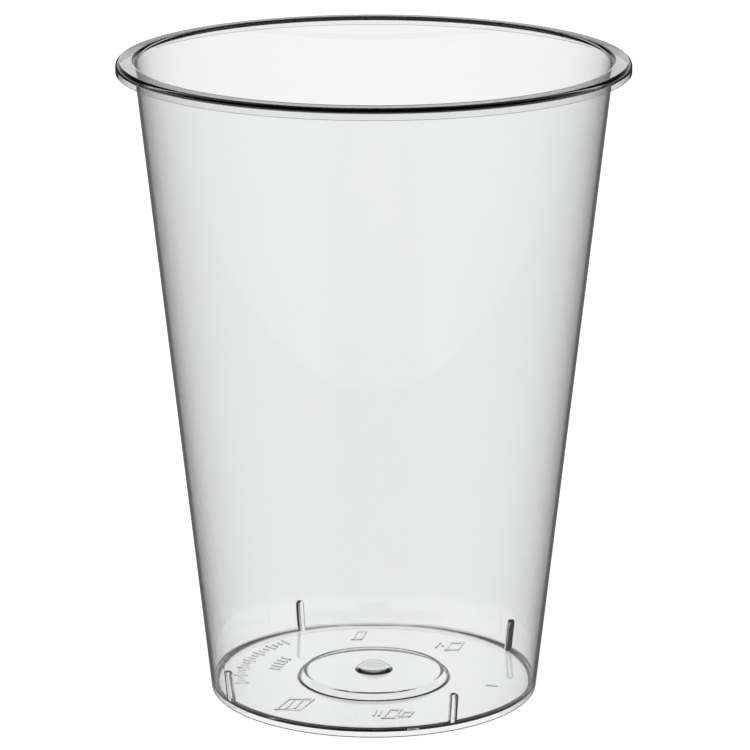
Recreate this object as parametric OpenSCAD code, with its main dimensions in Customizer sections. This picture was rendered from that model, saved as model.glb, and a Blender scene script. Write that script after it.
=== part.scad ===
// Clear moulded drinking tumbler: one thin wall of revolution with a hooked rim,
// a foot ring, a raised centre in its floor and upright stacking ribs above the floor.
// Origin: centre of the foot, on the surface that the tumbler stands on. +Z is up.

/* [Overall size] */
// Height from the foot to the top of the rim
cup_h = 108.5; // [90:0.5:130]
// Outer diameter of the wall where it runs into the rim
mouth_d = 79; // [70:0.1:92]
// Outer diameter of the wall at the foot
base_d = 55.5; // [50:0.1:66]

/* [Wall and floor] */
// Thickness of the side wall, square to its surface
wall_t = 0.45; // [0.35:0.05:1.1]
// What the wall gains in thickness down at the floor
base_gain = 0.3; // [0.1:0.05:0.5]
// Height over which the wall gains this
gain_h = 20; // [12:1:40]
// Height of the floor's upper face above the foot
floor_h = 1.2; // [1:0.05:2]
// Thickness of the floor
floor_t = 0.35; // [0.3:0.05:0.8]
// Radius in the corner between floor and wall
floor_corner_r = 1.05; // [0.2:0.05:1.2]
// Width of the foot ring that the tumbler stands on
foot_w = 1.25; // [1:0.05:3]
// Radius on both edges of the foot
foot_edge_r = 0.1; // [0.05:0.05:0.3]
// Radius in the inner corner of the foot ring
foot_root_r = 0.1; // [0.05:0.05:0.2]

/* [Rim] */
// How far the rim stands out from the wall
rim_reach = 3; // [2.2:0.1:4]
// Height of the rim from the skirt's lower edge to its top
rim_h = 1.95; // [1.8:0.05:3.5]
// Thickness of the flange where it turns outwards from the wall
flange_t = 0.65; // [0.5:0.05:1]
// Thickness of the skirt that hangs from the flange
skirt_t = 0.4; // [0.35:0.05:1]
// Fall of the rim's top from its inner to its outer edge
top_fall = 0.1; // [0:0.05:0.3]
// Fall of the groove's ceiling from the wall to the skirt
groove_fall = 0.15; // [0:0.05:0.3]
// Radius over the outer top edge of the rim
rim_edge_r = 0.85; // [0.3:0.05:1]
// Radius over the inner top edge, where lips touch
lip_r = 0.8; // [0.3:0.05:1]
// Radius on both lower edges of the skirt
skirt_edge_r = 0.1; // [0.05:0.05:0.15]
// Radius where the groove meets the wall
groove_root_r = 0.1; // [0.05:0.05:0.4]
// Radius where the groove meets the skirt
groove_out_r = 0.3; // [0.05:0.05:0.5]

/* [Raised centre of the floor] */
// Diameter of the raised disc, measured on its flat top
disc_d = 23.8; // [18:0.1:32]
// Rise of the disc above the floor
disc_rise = 1.05; // [0.7:0.05:1.5]
// What the disc has in thickness over the floor
disc_gain = 0.1; // [0:0.05:0.3]
// Width of the slope from the floor up to the disc
disc_slope = 0.95; // [0.7:0.05:2]
// Distance from the slope in to its lower face, measured level
slope_inset = 0.4; // [0.3:0.05:0.7]
// Radius over the top of the slope
disc_edge_r = 0.45; // [0.1:0.05:0.7]
// Radius in the foot of the slope
disc_foot_r = 1.3; // [0.3:0.05:1.5]
// Radius at the top of the slope's lower face
under_edge_r = 0.3; // [0.1:0.05:0.6]
// Radius at the foot of the slope's lower face
under_foot_r = 0.1; // [0.05:0.05:0.4]
// Diameter of the small dome over the gate
dome_d = 6.5; // [5:0.1:9]
// Rise of the dome above the disc
dome_rise = 1.45; // [0.6:0.05:1.7]
// Diameter of the hollow under the dome
hollow_d = 5.6; // [4:0.1:8]
// Rise of the hollow above the disc's lower face
hollow_rise = 0.6; // [0.3:0.05:1]

/* [Stacking ribs] */
// Number of ribs
rib_count = 4; // [2:1:8]
// Angle from the X axis to the first rib
rib_turn = 28.5; // [0:0.5:90]
// Width of a rib, which has a fully round nose
rib_w = 1.3; // [0.7:0.05:1.5]
// Depth of a rib from the wall to its nose, at the floor
rib_depth = 0.85; // [0.8:0.05:2]
// Height of a rib above the floor
rib_h = 5.5; // [3:0.1:12]

/* [Hidden] */
// Segments of every round surface
$fn = 144;
rim_r = mouth_d / 2 + rim_reach;
base_r = base_d / 2;
skirt_in_r = rim_r - skirt_t;
// Heights of the flange's underside at the wall and of the skirt's lower edge
flange_z = cup_h - flange_t;
skirt_z = cup_h - rim_h;
// The wall leans outwards by this much for each millimetre of height
lean = (mouth_d / 2 - base_r) / flange_z;
lean_angle = atan(lean);
// The wall's thickness measured level
wall_level_t = wall_t / cos(lean_angle);
// The recess under the floor, inside the foot ring
recess_h = floor_h - floor_t;
foot_in_r = base_r - foot_w;
// Radius of the cavity at the floor
cavity_r = wall_in(floor_h) - base_gain;
// Levels of the raised disc's two faces, and radii of the slope's two ends
disc_z = floor_h + disc_rise;
disc_under_z = recess_h + disc_rise - disc_gain;
disc_r = disc_d / 2;
slope_r = disc_r + disc_slope;
// The round nose of a rib, how far its middle stands off the wall, and how far its root reaches in
rib_nose_r = rib_w / 2;
rib_off = rib_depth - rib_nose_r;
rib_root = (wall_t + base_gain) / 2;

function wall_out(z) = base_r + lean * z;
function wall_in(z) = wall_out(z) - wall_level_t;
function unit(v) = v / norm(v);

// The piece between a corner and a round of radius r that touches both of its edges.
// It is added in an inner corner and taken away on an outer one.
module corner(p, to_a, to_b, r) {
    a = unit(to_a - p);
    b = unit(to_b - p);
    half = acos(a * b) / 2;
    reach = r / tan(half);
    centre = p + unit(a + b) * r / sin(half);
    difference() {
        polygon([p, p + a * reach, centre, p + b * reach]);
        translate(centre) circle(r);
    }
}

// Section of the recess inside the foot ring and under the raised disc
module recess_section() {
    ring_corner = [foot_in_r, recess_h];
    ring_edge = [foot_in_r, 0];
    slope_foot = [slope_r - slope_inset, recess_h];
    slope_top = [disc_r - slope_inset, disc_under_z];
    difference() {
        polygon([[0, -floor_t], [foot_in_r, -floor_t], ring_corner, slope_foot, slope_top, [0, disc_under_z]]);
        corner(ring_corner, slope_foot, ring_edge, foot_root_r);
        corner(slope_top, slope_foot, [0, disc_under_z], under_edge_r);
    }
    corner(slope_foot, ring_corner, slope_top, under_foot_r);
    corner(ring_edge, ring_corner, [base_r, 0], foot_edge_r);
}

// Section of the wall, the floor and the rim
module section() {
    foot = [base_r, 0];
    groove_root = [wall_out(flange_z), flange_z];
    groove_out = [skirt_in_r, flange_z - groove_fall];
    skirt_in = [skirt_in_r, skirt_z];
    skirt_out = [rim_r, skirt_z];
    rim_top = [rim_r, cup_h - top_fall];
    lip = [wall_in(cup_h), cup_h];
    gain_end = [wall_in(gain_h), gain_h];
    floor_corner = [cavity_r, floor_h];
    slope_foot = [slope_r, floor_h];
    slope_top = [disc_r, disc_z];
    difference() {
        union() {
            polygon([
                [0, 0], foot, groove_root, groove_out, skirt_in, skirt_out,
                rim_top, lip, gain_end, floor_corner, slope_foot, slope_top, [0, disc_z],
            ]);
            corner(floor_corner, slope_foot, gain_end, floor_corner_r);
            corner(groove_root, foot, groove_out, groove_root_r);
            corner(groove_out, skirt_in, groove_root, groove_out_r);
            corner(slope_foot, floor_corner, slope_top, disc_foot_r);
        }
        corner(foot, [0, 0], groove_root, foot_edge_r);
        corner(rim_top, lip, skirt_out, rim_edge_r);
        corner(lip, rim_top, gain_end, lip_r);
        corner(skirt_out, skirt_in, rim_top, skirt_edge_r);
        corner(skirt_in, skirt_out, groove_out, skirt_edge_r);
        corner(slope_top, [0, disc_z], slope_foot, disc_edge_r);
        recess_section();
    }
}

// A cap of a ball on the level z, d across and as high as its rise
module cap(z, d, rise) {
    ball_r = (d * d / 4 + rise * rise) / (2 * rise);
    intersection() {
        translate([0, 0, z + rise - ball_r]) sphere(ball_r);
        translate([0, 0, z]) cylinder(d = d, h = rise);
    }
}

// One upright rib on the wall at the X axis, as a ball-nosed cutter leaves it in the mould:
// round across its nose, and ended by a quarter ball on a round that runs back into the wall
module rib() {
    straight = rib_h - rib_nose_r;
    reach = rib_off + rib_root;
    translate([cavity_r - rib_off, 0, floor_h]) rotate([0, lean_angle, 0]) {
        translate([0, 0, -floor_t / 2]) linear_extrude(straight + floor_t / 2) {
            circle(rib_nose_r);
            translate([0, -rib_nose_r]) square([reach, rib_w]);
        }
        translate([0, 0, straight]) intersection() {
            union() {
                rotate([0, 45, 0]) sphere(rib_nose_r);
                rotate([0, 90, 0]) cylinder(r = rib_nose_r, h = reach);
            }
            translate([-rib_w, -rib_w, 0]) cube([rib_w + reach, 2 * rib_w, rib_w]);
        }
    }
}

module tumbler() {
    color([0.9, 0.94, 0.95, 0.35]) difference() {
        union() {
            rotate_extrude() section();
            cap(disc_z, dome_d, dome_rise);
            for (i = [0 : rib_count - 1])
                rotate([0, 0, rib_turn + i * 360 / rib_count]) rib();
        }
        cap(disc_under_z, hollow_d, hollow_rise);
    }
}

tumbler();
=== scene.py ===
# %% [markdown]
# # A clear moulded tumbler
# The tumbler is one thin piece of hard, see-through plastic. Nothing on it is coloured, so it is
# seen only by what it does to the light behind it: straight walls let the pale background through,
# while edges, roundings and ribs bend or mirror the light away and turn dark. The lesson is
# therefore half about an exact, watertight mesh and half about what surrounds it.
#
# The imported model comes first. It fixes the size and the place of everything.

# %% Load the fixed frame
import math

import bmesh
import bpy
from mathutils import Matrix, Vector


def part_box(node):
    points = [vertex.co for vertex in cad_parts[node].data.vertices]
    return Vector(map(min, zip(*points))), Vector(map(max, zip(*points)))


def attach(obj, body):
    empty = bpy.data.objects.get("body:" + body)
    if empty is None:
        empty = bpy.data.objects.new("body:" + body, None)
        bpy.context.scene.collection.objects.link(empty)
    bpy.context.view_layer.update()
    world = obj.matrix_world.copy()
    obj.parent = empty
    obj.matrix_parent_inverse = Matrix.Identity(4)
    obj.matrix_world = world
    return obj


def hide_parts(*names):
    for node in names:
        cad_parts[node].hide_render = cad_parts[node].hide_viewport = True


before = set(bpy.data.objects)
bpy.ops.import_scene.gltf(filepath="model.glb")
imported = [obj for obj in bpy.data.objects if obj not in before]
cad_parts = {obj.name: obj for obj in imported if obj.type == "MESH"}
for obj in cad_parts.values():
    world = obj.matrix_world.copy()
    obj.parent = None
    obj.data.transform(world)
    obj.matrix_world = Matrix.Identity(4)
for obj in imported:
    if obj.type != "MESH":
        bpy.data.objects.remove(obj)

MM = 0.001
scene = bpy.context.scene
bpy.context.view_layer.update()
node_low, node_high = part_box("tumbler")
rim_r = (node_high.x - node_low.x) / 2
cup_h = node_high.z
print(f"tumbler: {2 * rim_r / MM:.1f} mm across the rim, {cup_h / MM:.1f} mm tall")

# %% [markdown]
# ## Camera
# The photograph looks down on the tumbler by fifteen degrees from about two thirds of a metre,
# through a long lens. These numbers came from fitting the rim, the floor and the side lines.
# A long lens keeps the side lines nearly parallel. The aim is a little beside the axis, because
# the tumbler doesn't stand exactly in the middle of the picture.

# %% Camera
EYE_DISTANCE = 646.95 * MM
EYE_HEIGHT = 229.15 * MM
EYE_SIDE = 0.2 * MM
LOOK_DOWN = math.radians(15.11)
SENSOR_W = 36
FOCAL_LENGTH = 191.39
NEAREST_SEEN = 10 * MM

camera_data = bpy.data.cameras.new("camera")
camera_data.sensor_width = SENSOR_W
camera_data.lens = FOCAL_LENGTH
camera_data.clip_start = NEAREST_SEEN
camera = bpy.data.objects.new("camera", camera_data)
camera.location = (EYE_SIDE, -EYE_DISTANCE, EYE_HEIGHT)
camera.rotation_euler = (math.pi / 2 - LOOK_DOWN, 0, 0)
scene.collection.objects.link(camera)
scene.camera = camera
scene.view_settings.view_transform = "Standard"
print("camera looks down by", round(math.degrees(LOOK_DOWN), 1), "degrees")

# %% [markdown]
# ## The section, as a mould maker would draw it
# A moulded cup is a solid of revolution, so one half of its section says nearly everything.
# It is written as sharp corners, each with the radius that the mould has there, and a helper
# turns every corner into a round. Two things matter for clear plastic. The outline is closed, so
# that light enters and leaves through real surfaces. And every corner has a radius, because a
# clear edge is seen through its rounding and never as a mere line.
#
# The wall is under half a millimetre thick. The rim is a thin hook: the wall turns outwards and
# hangs down again as a short skirt, which is stiff, kind to lips and quick to mould.

# %% Sizes of the wall and the rim
base_r = 27.75 * MM
mouth_r = 39.5 * MM
wall_t = 0.45 * MM

rim_h = 1.95 * MM
flange_t = 0.65 * MM
skirt_t = 0.4 * MM
top_fall = 0.1 * MM
groove_fall = 0.15 * MM
rim_edge_r = 0.85 * MM
lip_r = 0.8 * MM
skirt_edge_r = 0.1 * MM
groove_root_r = 0.1 * MM
groove_out_r = 0.3 * MM

flange_z = cup_h - flange_t
skirt_z = cup_h - rim_h
skirt_in_r = rim_r - skirt_t
lean = (mouth_r - base_r) / flange_z
lean_angle = math.atan(lean)
wall_level_t = wall_t / math.cos(lean_angle)


def wall_out(z):
    """Radius of the wall's outer face at the height z."""
    return base_r + lean * z


def wall_in(z):
    """Radius of the wall's inner face at the height z."""
    return wall_out(z) - wall_level_t


print(f"the wall leans outwards by {math.degrees(lean_angle):.1f} degrees")

# %% [markdown]
# ## Foot, floor and raised centre
# The wall ends below in a foot ring, and the floor hangs a little above the table inside it, so
# that the cup stands steadily on a wet table. The middle of the floor is pressed up as a disc,
# with a small dome where the plastic was let into the mould.
#
# The line round the back of the floor is drawn by the corner of the floor and by the foot ring
# below it, which bend the view onto a painted shadow on the table. Their last tenths of a
# millimetre were found from the look of that line. So here the foot ring is a little slimmer on
# its hidden inner side than in the imported model, and it tapers.

# %% Sizes of the floor
floor_h = 1.2 * MM
floor_t = 0.34 * MM
floor_corner_r = 0.96 * MM
foot_w = 0.8 * MM
foot_slope = 0.28 * MM
foot_edge_r = 0.05 * MM
foot_root_r = 0.05 * MM
base_gain = 0.1 * MM
gain_h = 20 * MM

disc_r = 11.9 * MM
disc_rise = 1.05 * MM
disc_gain = 0.1 * MM
disc_slope = 0.95 * MM
slope_inset = 0.4 * MM
disc_edge_r = 0.45 * MM
disc_foot_r = 1.3 * MM
under_edge_r = 0.3 * MM
under_foot_r = 0.1 * MM
dome_r = 3.25 * MM
dome_rise = 1.45 * MM
dome_foot_r = 0.1 * MM
hollow_r = 2.8 * MM
hollow_rise = 0.6 * MM
hollow_foot_r = 0.05 * MM

recess_h = floor_h - floor_t
foot_in_r = base_r - foot_w
cavity_r = wall_in(floor_h) - base_gain
disc_z = floor_h + disc_rise
disc_under_z = recess_h + disc_rise - disc_gain
slope_r = disc_r + disc_slope
print(f"the floor is {floor_t / MM:.2f} mm thick and hangs {recess_h / MM:.2f} mm above the table")

# %% [markdown]
# ## The whole outline
# The corners are listed in order, from the top of the hollow under the dome, out over the foot,
# up the outside, round the rim, down the inside and back over the disc to the top of the dome.
# The dome and the hollow are caps of balls, so they are given by many points without a radius.

# %% Corners of the section
CAP_STEPS = 16


def cap(z, radius, rise):
    """Corners of a cap of a ball on the level z, from its top to just before its foot."""
    ball_r = (radius * radius + rise * rise) / (2 * rise)
    radii = [radius * i / CAP_STEPS for i in range(CAP_STEPS)]
    return [(r, z + rise - ball_r + math.sqrt(ball_r * ball_r - r * r), 0) for r in radii]


corners = [
    *cap(disc_under_z, hollow_r, hollow_rise),
    (hollow_r, disc_under_z, hollow_foot_r),
    (disc_r - slope_inset, disc_under_z, under_edge_r),
    (slope_r - slope_inset, recess_h, under_foot_r),
    (foot_in_r - foot_slope, recess_h, foot_root_r),
    (foot_in_r, 0, foot_edge_r),
    (base_r, 0, foot_edge_r),
    (mouth_r, flange_z, groove_root_r),
    (skirt_in_r, flange_z - groove_fall, groove_out_r),
    (skirt_in_r, skirt_z, skirt_edge_r),
    (rim_r, skirt_z, skirt_edge_r),
    (rim_r, cup_h - top_fall, rim_edge_r),
    (wall_in(cup_h), cup_h, lip_r),
    (wall_in(gain_h), gain_h, 0),
    (cavity_r, floor_h, floor_corner_r),
    (slope_r, floor_h, disc_foot_r),
    (disc_r, disc_z, disc_edge_r),
    (dome_r, disc_z, dome_foot_r),
    *reversed(cap(disc_z, dome_r, dome_rise)),
]
print(len(corners), "corners")

# %% [markdown]
# ## From sharp corners to a smooth outline
# Each corner is replaced by the arc that touches both of its sides. The mesh is shaded smoothly,
# which blends directions between neighbouring points, so a flat stretch beside an arc would look
# bent through the plastic. Extra points close to the ends of each straight keep it optically flat.

# %% Rounded outline
ROUND_STEP = math.radians(6)


def rounded(corners):
    """The outline through corners of (r, z, radius), with each corner turned into an arc."""
    points = [Vector(corner[:2]) for corner in corners]
    outline = [points[0]]
    for i in range(1, len(points) - 1):
        here, radius = points[i], corners[i][2]
        if not radius:
            outline.append(here)
            continue
        back = (points[i - 1] - here).normalized()
        ahead = (points[i + 1] - here).normalized()
        half = back.angle(ahead) / 2
        centre = here + (back + ahead).normalized() * radius / math.sin(half)
        start = here + back * radius / math.tan(half) - centre
        turn = math.pi - 2 * half
        side = 1 if back.x * ahead.y - back.y * ahead.x < 0 else -1
        steps = max(2, math.ceil(turn / ROUND_STEP))
        for k in range(steps + 1):
            outline.append(centre + Matrix.Rotation(side * turn * k / steps, 2) @ start)
    outline.append(points[-1])
    return outline


outline = rounded(corners)
print("the arcs brought", len(outline) - len(corners), "more points")

# %% Points beside the arcs
SUPPORT = 0.03 * MM
SHORTEST_RUN = 6 * SUPPORT
LONGEST_STEP = 2.5 * MM


def with_rows(outline):
    """Adds points beside the ends of each straight and along the long ones."""
    rows = [outline[0]]
    for here, there in zip(outline, outline[1:]):
        run = there - here
        if run.length > SHORTEST_RUN:
            first = here + run.normalized() * SUPPORT
            last = there - run.normalized() * SUPPORT
            count = max(1, math.ceil((last - first).length / LONGEST_STEP))
            rows += [first.lerp(last, i / count) for i in range(count + 1)]
        rows.append(there)
    return rows


section = with_rows(outline)
print("the section has", len(section), "points")

# %% [markdown]
# ## Turning the section
# The section is turned round the axis in small steps. Every ring shares its points with the next,
# so the mesh is closed. The number of steps is chosen from the picture: at the rim one step is
# little over a millimetre, which bows by four thousandths of a millimetre only. More steps would
# take the mesh past 200,000 triangles without being seen.

# %% Revolve the section
STEPS = 232


def mesh_object(name, shell):
    """Turns finished mesh data into an object of the scene."""
    bmesh.ops.recalc_face_normals(shell, faces=shell.faces)
    mesh = bpy.data.meshes.new(name)
    shell.to_mesh(mesh)
    shell.free()
    piece = bpy.data.objects.new(name, mesh)
    scene.collection.objects.link(piece)
    return piece


def revolve(name, outline, steps):
    """A closed mesh round the Z axis. The outline starts and ends on the axis."""
    shell = bmesh.new()
    first = shell.verts.new((0, 0, outline[0].y))
    last = shell.verts.new((0, 0, outline[-1].y))
    angles = [2 * math.pi * i / steps for i in range(steps)]
    rings = []
    for p in outline[1:-1]:
        rings.append([shell.verts.new((p.x * math.cos(a), p.x * math.sin(a), p.y)) for a in angles])
    for i in range(steps):
        j = (i + 1) % steps
        shell.faces.new((first, rings[0][j], rings[0][i]))
        for low, high in zip(rings, rings[1:]):
            shell.faces.new((low[i], low[j], high[j], high[i]))
        shell.faces.new((last, rings[-1][i], rings[-1][j]))
    return mesh_object(name, shell)


tumbler = revolve("clear_tumbler", section, STEPS)
print("turned mesh:", len(tumbler.data.polygons), "faces")

# %% [markdown]
# ## Stacking ribs
# Four short upright ribs inside the wall hold the next cup of a stack a few millimetres up, so
# that the two don't stick together. The mould maker mills them with a ball-nosed cutter, which
# follows the leaning wall: the nose of a rib is half round, and its top ends as a quarter ball on
# a round that runs back into the wall. Cut level, such a rib is the same outline at every height,
# two flanks and a half-round nose, and near the top only its radius shrinks. So it is built as a
# stack of level outlines whose roots lie inside the wall.

# %% Ribs
RIB_COUNT = 4
RIB_TURN = math.radians(28.5)
rib_w = 1.3 * MM
rib_depth = 1.05 * MM
rib_h = 5.5 * MM
NOSE_STEPS = 16
BALL_STEPS = 10
rib_nose_r = rib_w / 2
rib_off = rib_depth - rib_nose_r
rib_reach = rib_off + (wall_t + base_gain) / 2


def rib_outline(radius, level):
    """Two flanks from the root and a half-round nose between them, at one level of the rib."""
    points = [Vector((rib_reach, -radius, level))]
    for i in range(NOSE_STEPS + 1):
        a = math.pi * (i / NOSE_STEPS - 0.5)
        points.append(Vector((-radius * math.cos(a), radius * math.sin(a), level)))
    points.append(Vector((rib_reach, radius, level)))
    return points


print(f"a rib is {rib_w / MM:.1f} mm wide and reaches {rib_reach / MM:.2f} mm behind the middle of its nose")

# %% Stack the outlines to ribs
def add_rib(shell, turn):
    """One closed rib on the wall, turned round the axis of the cup."""
    straight = rib_h - rib_nose_r
    outlines = [rib_outline(rib_nose_r, -floor_t / 2), rib_outline(rib_nose_r, straight - SUPPORT)]
    for i in range(BALL_STEPS):
        a = math.pi / 2 * i / BALL_STEPS
        outlines.append(rib_outline(rib_nose_r * math.cos(a), straight + rib_nose_r * math.sin(a)))
    foot = Vector((cavity_r - rib_off, 0, floor_h))
    tilt = Matrix.Rotation(lean_angle, 3, "Y")
    about_axis = Matrix.Rotation(turn, 3, "Z")
    rows = []
    for outline in outlines:
        rows.append([shell.verts.new(about_axis @ (foot + tilt @ p)) for p in outline])
    for low, high in zip(rows, rows[1:]):
        for i in range(len(low)):
            j = (i + 1) % len(low)
            shell.faces.new((low[i], low[j], high[j], high[i]))
    shell.faces.new(reversed(rows[0]))
    shell.faces.new(rows[-1])


shell = bmesh.new()
for i in range(RIB_COUNT):
    add_rib(shell, RIB_TURN + 2 * math.pi * i / RIB_COUNT)
ribs = mesh_object("ribs", shell)
print(RIB_COUNT, "ribs,", round(rib_h / MM, 1), "mm tall")

# %% [markdown]
# ## Moulded marks on the floor
# Moulders mark the floor of such a cup with small raised signs. Only their kind is shown here:
# plain bars and frames without any meaning. A raised line on clear plastic is seen as two
# thin dark lines, where its steep sides catch the light that runs along the floor. So each mark
# is a low ridge with steep sides, swept along a path, and closed below inside the floor.

# %% A ridge along a path
MARK_H = 0.16 * MM
MARK_ROOT = 0.1 * MM
MARK_W = 0.42 * MM
MARK_TOP_W = 0.36 * MM
MARK_CUT = [
    (-MARK_W / 2, floor_h - MARK_ROOT),
    (MARK_W / 2, floor_h - MARK_ROOT),
    (MARK_TOP_W / 2, floor_h + MARK_H),
    (-MARK_TOP_W / 2, floor_h + MARK_H),
]


def add_ridge(shell, path, closed=False):
    """Sweeps the cut of a mark along a path on the floor, with mitred corners."""
    rows = []
    for i, here in enumerate(path):
        ahead = path[(i + 1) % len(path)] if closed or i + 1 < len(path) else here + here - path[i - 1]
        behind = path[i - 1] if closed or i > 0 else here + here - path[i + 1]
        a, b = (here - behind).normalized(), (ahead - here).normalized()
        along = (a + b).normalized()
        across = Vector((-along.y, along.x)) / along.dot(b)
        rows.append([shell.verts.new((*(here + across * offset), z)) for offset, z in MARK_CUT])
    pairs = list(zip(rows, rows[1:]))
    if closed:
        pairs.append((rows[-1], rows[0]))
    else:
        shell.faces.new(rows[0])
        shell.faces.new(reversed(rows[-1]))
    for first, second in pairs:
        for i in range(len(MARK_CUT)):
            j = (i + 1) % len(MARK_CUT)
            shell.faces.new((first[i], first[j], second[j], second[i]))


print(f"a ridge is {MARK_W / MM:.2f} mm wide and {MARK_H / MM:.2f} mm high")

# %% Rows of short bars
# Each row: count, bearing of the first bar in degrees, step to the next, lean from end to end,
# and the inner and outer ends of its bars in millimetres. A row takes its kinds of bar in turn.
BAR_ROWS = [
    (19, 191, 3.2, 0.7, [(21.7, 24.0), (22.3, 23.5), (22.3, 23.5)]),
    (5, 171, 4.6, 1.0, [(16.3, 18.3)]),
]


def polar(radius, degrees):
    """A point of the floor, from its distance in millimetres and its direction."""
    a = math.radians(degrees)
    return Vector((math.cos(a), math.sin(a))) * radius * MM


shell = bmesh.new()
for count, first, step, bar_lean, kinds in BAR_ROWS:
    for i in range(count):
        start, end = kinds[i % len(kinds)]
        bearing = first - step * i
        add_ridge(shell, [polar(start, bearing), polar(end, bearing - bar_lean)])
print(sum(row[0] for row in BAR_ROWS), "short bars in", len(BAR_ROWS), "rows")

# %% Frames and single bars
# Each frame: its middle, turn in degrees, width, depth and lean. Each bar: the points on its way.
# All of it is in millimetres on the floor.
FRAMES = [
    ((-13.2, -14.9), -5, 4.0, 5.2, 1.6),
    ((3.0, -19.6), 0, 1.8, 3.8, 1.2),
    ((5.4, -19.8), 0, 1.5, 2.0, 0.7),
    ((-2.6, 20.3), 0, 1.5, 4.2, 0.9),
    ((14.2, 14.5), 0, 2.2, 3.6, 1.0),
]
BARS = [
    [(-14.6, -16.9), (-13.4, -12.9)],
    [(-13.2, -16.9), (-12.0, -12.9)],
    [(-0.1, -20.5), (0.4, -18.0)],
    [(0.8, -20.5), (1.3, -18.0)],
    [(10.9, 14.0), (11.9, 17.2), (12.2, 14.6)],
    [(19.1, -5.3), (21.0, -5.9)],
]
FRAME_SIGNS = ((-1, -1), (1, -1), (1, 1), (-1, 1))

for middle, turn, width, depth, skew in FRAMES:
    spin = Matrix.Rotation(math.radians(turn), 2)
    path = []
    for x, y in FRAME_SIGNS:
        corner = Vector((x * width + y * skew, y * depth)) / 2
        path.append((Vector(middle) + spin @ corner) * MM)
    add_ridge(shell, path, closed=True)
for bar in BARS:
    add_ridge(shell, [Vector(point) * MM for point in bar])
marks = mesh_object("marks", shell)
print("marks:", len(marks.data.polygons), "faces")

# %% [markdown]
# ## Unite the ribs and the marks with the cup
# A solid that overlaps another inside clear plastic would show its hidden faces. The ribs and the
# marks are therefore truly united with the cup by an exact Boolean, and edges sharper than thirty
# degrees are kept crisp while all the rest is shaded smooth.

# %% Join and shade
SHARP = math.radians(30)


def unite(target, tool):
    """Unites target with tool by an exact Boolean and removes the tool."""
    step = target.modifiers.new("unite", "BOOLEAN")
    step.operation = "UNION"
    step.solver = "EXACT"
    step.object = tool
    result = bpy.data.meshes.new_from_object(target.evaluated_get(bpy.context.evaluated_depsgraph_get()))
    target.modifiers.clear()
    target.data = result
    bpy.data.objects.remove(tool)


unite(tumbler, ribs)
unite(tumbler, marks)
tumbler.data.shade_smooth()
tumbler.data.set_sharp_from_angle(angle=SHARP)
print("united mesh:", len(tumbler.data.polygons), "faces")

# %% [markdown]
# ## Shader helpers
# A small class lets a socket take part in ordinary Python sums: each sign adds one Math node. One
# method adds any other node by its type, its settings and the values or links of its sockets.

# %% Sockets in expressions
class Value:
    """A number that is worked out in the shader."""

    def __init__(self, tree, socket):
        self.tree, self.socket = tree, socket

    def math(self, operation, first, second=0.0):
        """Adds a Math node. The other methods are its signs."""
        return self.tree.add("ShaderNodeMath", {"operation": operation}, {0: first, 1: second})

    def __add__(self, other):
        return self.math("ADD", self, other)

    def __radd__(self, other):
        return self.math("ADD", other, self)

    def __sub__(self, other):
        return self.math("SUBTRACT", self, other)

    def __rsub__(self, other):
        return self.math("SUBTRACT", other, self)

    def __mul__(self, other):
        return self.math("MULTIPLY", self, other)

    def __rmul__(self, other):
        return self.math("MULTIPLY", other, self)

    def __gt__(self, other):
        return self.math("GREATER_THAN", self, other)

    def __abs__(self):
        return self.math("ABSOLUTE", self)

    def or_more(self, other):
        """The larger of the two."""
        return self.math("MAXIMUM", self, other)


print("signs that a socket knows: +, -, *, >, abs() and or_more()")

# %% Any other node
WHITE = (1, 1, 1, 1)


class Tree:
    """The node tree of a material or of the world."""

    def __init__(self, owner):
        owner.use_nodes = True
        self.nodes, self.links = owner.node_tree.nodes, owner.node_tree.links
        self.nodes.clear()

    def add(self, kind, settings=None, inputs=None, output=0):
        """Adds a node, sets it up, and gives back one of its outputs as a Value."""
        node = self.nodes.new(kind)
        for name, setting in (settings or {}).items():
            setattr(node, name, setting)
        for name, given in (inputs or {}).items():
            if isinstance(given, Value):
                self.links.new(given.socket, node.inputs[name])
            else:
                node.inputs[name].default_value = given
        return Value(self, node.outputs[output]) if node.outputs else node

    def fade(self, value, start, end, low=0.0, high=1.0):
        """A soft step from low at start to high at end."""
        return self.add(
            "ShaderNodeMapRange",
            {"interpolation_type": "SMOOTHSTEP"},
            {"Value": value, "From Min": start, "From Max": end, "To Min": low, "To Max": high},
        )

    def glow(self, strength):
        """A white light of one strength."""
        return self.add("ShaderNodeEmission", {}, {"Color": WHITE, "Strength": strength})

    def rays(self):
        """Four switches: a ray from the camera, one through or off the plastic, one just
        mirrored off the outside, and one mirrored at any time before."""
        camera_ray = self.add("ShaderNodeLightPath", output="Is Camera Ray")
        through = self.add("ShaderNodeLightPath", output="Is Transmission Ray")
        off = self.add("ShaderNodeLightPath", output="Is Glossy Ray")
        mirrored = self.add("ShaderNodeLightPath", output="Glossy Depth") > 0
        return camera_ray, through.or_more(off), off * (1 - through), mirrored


print("any other node comes from Tree.add()")

# %% [markdown]
# ## Clear hard plastic
# Hard clear plastic of this kind bends light like flint glass, by a refractive index of 1.59.
# It is left fully transmitting. Melt that flows up a thin wall leaves three faint traces, and all
# of them follow one noise that is drawn out along the height: a hint of tint, a hint of haze, and
# ripples a few thousandths of a millimetre deep. They keep reflections from looking computed.

# %% The plastic
PLASTIC_INDEX = 1.59
FLOW_SCALE = 90.0
FLOW_DETAIL = 3.0
FLOW_STRETCH = (1, 1, 0.2)
FAINT_TINT = (0.985, 0.992, 0.994, 1)
HAZE = 0.012
RIPPLE = 0.02 * MM
RIPPLE_STRENGTH = 0.25

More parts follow.
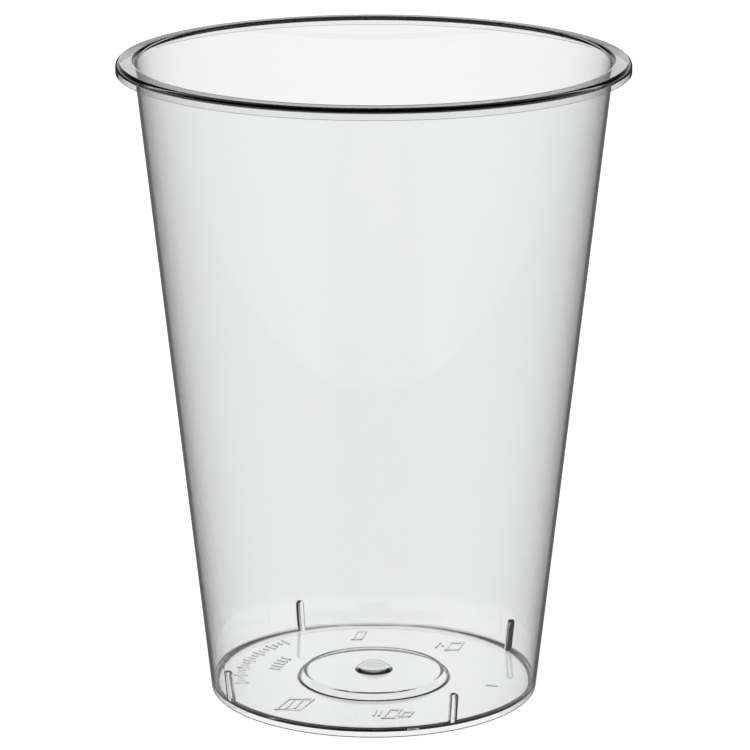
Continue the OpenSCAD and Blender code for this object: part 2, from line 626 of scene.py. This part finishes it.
plastic = bpy.data.materials.new("clear_plastic")
tree = Tree(plastic)
place = tree.add("ShaderNodeTexCoord", output="Object")
drawn_out = tree.add("ShaderNodeVectorMath", {"operation": "MULTIPLY"}, {0: place, 1: FLOW_STRETCH})
noise = {"Vector": drawn_out, "Scale": FLOW_SCALE, "Detail": FLOW_DETAIL}
flow = tree.add("ShaderNodeTexNoise", {}, noise)
# A Mix node has its colours on the sockets 6 and 7, and gives the mixed colour on its output 2.
colours = {"Factor": flow, 6: FAINT_TINT, 7: WHITE}
tint = tree.add("ShaderNodeMix", {"data_type": "RGBA"}, colours, output=2)
ripples = tree.add("ShaderNodeBump", {}, {"Strength": RIPPLE_STRENGTH, "Distance": RIPPLE, "Height": flow})
body = tree.add(
    "ShaderNodeBsdfPrincipled",
    {},
    {
        "Base Color": tint,
        "Roughness": flow * HAZE,
        "IOR": PLASTIC_INDEX,
        "Transmission Weight": 1.0,
        "Normal": ripples,
    },
)
tree.add("ShaderNodeOutputMaterial", {}, {"Surface": body})
tumbler.data.materials.clear()
tumbler.data.materials.append(plastic)
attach(tumbler, "root")
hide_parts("tumbler")
print("plastic:", len(tree.nodes), "nodes")

# %% [markdown]
# ## What surrounds the tumbler
# Clear things are photographed against a bright screen with something dark beside it. Here a dark
# strip stands on both sides of the screen, and beyond it the room is pale again, so that the cup
# looks clear from its other sides too. A view that passes straight through the wall ends on the
# screen. A view that a rib bends to the side ends on a strip and turns dark, which draws the
# rib's outline. A view that was mirrored inside the plastic ends in a dark room, unless it goes up
# to the far wall. A view just mirrored off the outside finds the table: dim straight behind
# the cup, brighter to both sides, which gives the wall its narrow dark edge and the soft grey
# beside it. The Light Path node tells these views apart, and the direction does the rest.

# %% World
# Tones: the ceiling, the dark room, the light on whatever isn't clear, and the screen
CEILING = 0.028
ROOM = 0.02
AMBIENT = 0.6
PALE = 0.97
# Every limit below is a part of a direction whose whole length is 1
# The table's two tones, and where one goes over into the other, sideways
TABLE = 0.2
TABLE_SIDE = 0.5
TABLE_START = 0.3
TABLE_END = 0.5
# The dark strips beside the screen: their tone, where they begin, and where it is pale again
SIDE_TONE = 0.05
SIDE_START = 0.3
SIDE_END = 0.42
AGAIN_START = 0.56
AGAIN_END = 0.63
# Upwards: where the room goes over into the far wall, and where the ceiling begins
LOW_START = -0.19
LOW_END = 0.19
TOP_START = 0.85
TOP_END = 0.95

world = bpy.data.worlds.new("studio")
scene.world = world
tree = Tree(world)
camera_ray, special, off, mirrored = tree.rays()
direction = tree.add("ShaderNodeTexCoord", output="Generated")
height = tree.add("ShaderNodeSeparateXYZ", {}, {0: direction}, output="Z")
sideways = tree.add("ShaderNodeSeparateXYZ", {}, {0: direction}, output="X")
aside = abs(sideways)
strip = tree.fade(aside, SIDE_START, SIDE_END) * tree.fade(aside, AGAIN_START, AGAIN_END, 1.0, 0.0)
screen = PALE - strip * (PALE - SIDE_TONE)
table = tree.fade(aside, TABLE_START, TABLE_END, TABLE, TABLE_SIDE)
gloom = mirrored * (1 - ROOM - off * (table - ROOM)) * (1 - tree.fade(height, LOW_START, LOW_END))
bright = (1 - gloom) * (mirrored + (1 - mirrored) * screen)
seen = bright * tree.fade(height, TOP_START, TOP_END, 1.0, CEILING)
strength = camera_ray + (1 - camera_ray) * (special * seen + (1 - special) * AMBIENT)
light = tree.add("ShaderNodeBackground", {}, {"Color": WHITE, "Strength": strength})
tree.add("ShaderNodeOutputWorld", {}, {"Surface": light})
print("world:", len(tree.nodes), "nodes")

# %% [markdown]
# ## A card ring, dark above
# A tall ring of card stands round the table. Below it is open, and above the rim of the cup it is
# black, so views that the flange of the rim bends upwards turn dark. The change is a soft one over
# ten centimetres. A lower band of the card is dark only to light that was just mirrored off the
# outside: the leaning wall mirrors the table in front of the card, but the upright skirt of the
# rim mirrors this band, and so its two ends turn dark. The card shows only to light that has met
# the plastic, so that the picture keeps its white background.

# %% Card ring
CARD_R = 360 * MM
CARD_H = 1500 * MM
SHEET_SEGMENTS = 96
# The heights where the card begins to darken and where it is black
CARD_LIT = 122 * MM
CARD_DARK = 225 * MM
# The lower band: the heights between which it fades in, and those between which it fades out
BAND_LOW = (31 * MM, 38 * MM)
BAND_HIGH = (100 * MM, 150 * MM)

shell = bmesh.new()
bmesh.ops.create_cone(shell, segments=SHEET_SEGMENTS, radius1=CARD_R, radius2=CARD_R, depth=CARD_H)
card = mesh_object("card_ring", shell)
card.location.z = CARD_H / 2
paper = bpy.data.materials.new("graded_card")
tree = Tree(paper)
_, special, off, _ = tree.rays()
place = tree.add("ShaderNodeNewGeometry", output="Position")
level = tree.add("ShaderNodeSeparateXYZ", {}, {0: place}, output="Z")
high = tree.fade(level, CARD_LIT, CARD_DARK)
band = off * tree.fade(level, *BAND_LOW) * tree.fade(level, *BAND_HIGH, 1.0, 0.0)
shade = special * high.or_more(band)
clear = tree.add("ShaderNodeBsdfTransparent")
both = tree.add("ShaderNodeMixShader", {}, {0: shade, 1: clear, 2: tree.glow(CEILING)})
tree.add("ShaderNodeOutputMaterial", {}, {"Surface": both})
card.data.materials.append(paper)
print(f"card ring: {2 * CARD_R / MM:.0f} mm across, {CARD_H / MM:.0f} mm tall")

# %% [markdown]
# ## The table
# The camera sees a white table with a soft shadow. A view that has passed the plastic goes on to
# the bright screen, except just outside the foot, where a shadow of the cup is painted on the
# table. That narrow painted ring, seen through the corner of the floor, draws the line at the back
# of the floor. A view that was mirrored inside the plastic finds the table dark. One just mirrored
# off the outside goes on to the table that is part of the world, where it has its two tones.

# %% Floor
FLOOR_R = 800 * MM
FLOOR_DROP = 0.05 * MM
# The painted shadow round the foot: where it begins, how far it is full, where it ends, and its tone
CONTACT_IN = 27.1 * MM
CONTACT_FULL = 27.8 * MM
CONTACT_OUT = 29.9 * MM
CONTACT_TONE = 0.6
FLOOR_GLOW = 0.9
SHADOW_GREY = (0.3, 0.3, 0.3, 1)
PLAIN_GREY = (0.85, 0.85, 0.85, 1)

shell = bmesh.new()
bmesh.ops.create_circle(shell, cap_ends=True, segments=SHEET_SEGMENTS, radius=FLOOR_R)
floor = mesh_object("floor", shell)
floor.location.z = -FLOOR_DROP
paint = bpy.data.materials.new("pale_floor")
tree = Tree(paint)
camera_ray, special, off, mirrored = tree.rays()
shadowed = tree.add("ShaderNodeBsdfDiffuse", {}, {"Color": SHADOW_GREY})
looked_at = tree.add("ShaderNodeAddShader", {}, {0: shadowed, 1: tree.glow(FLOOR_GLOW)})
place = tree.add("ShaderNodeNewGeometry", output="Position")
from_axis = tree.add("ShaderNodeVectorMath", {"operation": "LENGTH"}, {0: place}, output="Value")
# Painted contact shadow: a dark ring round the foot in the table's own shader, seen by views that passed the
# plastic
painted_contact_shade = (from_axis > CONTACT_IN) * tree.fade(from_axis, CONTACT_FULL, CONTACT_OUT, 1 - CONTACT_TONE, 0.0)
clear = tree.add("ShaderNodeBsdfTransparent")
# The table lets these views pass on to the screen, darkened by the painted shadow ring
bright = tree.add("ShaderNodeMixShader", {}, {0: painted_contact_shade, 1: clear, 2: tree.glow(0.0)})
beside = tree.add("ShaderNodeMixShader", {}, {0: off, 1: tree.glow(ROOM), 2: clear})
through = tree.add("ShaderNodeMixShader", {}, {0: mirrored, 1: bright, 2: beside})
plain = tree.add("ShaderNodeBsdfDiffuse", {}, {"Color": PLAIN_GREY})
others = tree.add("ShaderNodeMixShader", {}, {0: camera_ray, 1: plain, 2: looked_at})
both = tree.add("ShaderNodeMixShader", {}, {0: special, 1: others, 2: through})
tree.add("ShaderNodeOutputMaterial", {}, {"Surface": both})
floor.data.materials.append(paint)
print(f"table: shaded from {CONTACT_IN / MM:.1f} to {CONTACT_OUT / MM:.1f} mm from the axis")

# %% [markdown]
# ## One plain lamp
# A broad lamp overhead shades the table. It is kept out of reflections and refractions, since the
# screen and the room already say all that the plastic shows.

# %% Lamp
LAMP_SIZE = 400 * MM
LAMP_POWER = 6
LAMP_PLACE = Vector((-100, -100, 1200)) * MM

lamp = bpy.data.lights.new("overhead", "AREA")
lamp.shape = "DISK"
lamp.size = LAMP_SIZE
lamp.energy = LAMP_POWER
overhead = bpy.data.objects.new("overhead", lamp)
overhead.location = LAMP_PLACE
overhead.visible_glossy = False
overhead.visible_transmission = False
scene.collection.objects.link(overhead)
print("lamp:", LAMP_POWER, "W, kept out of mirrored and refracted views")
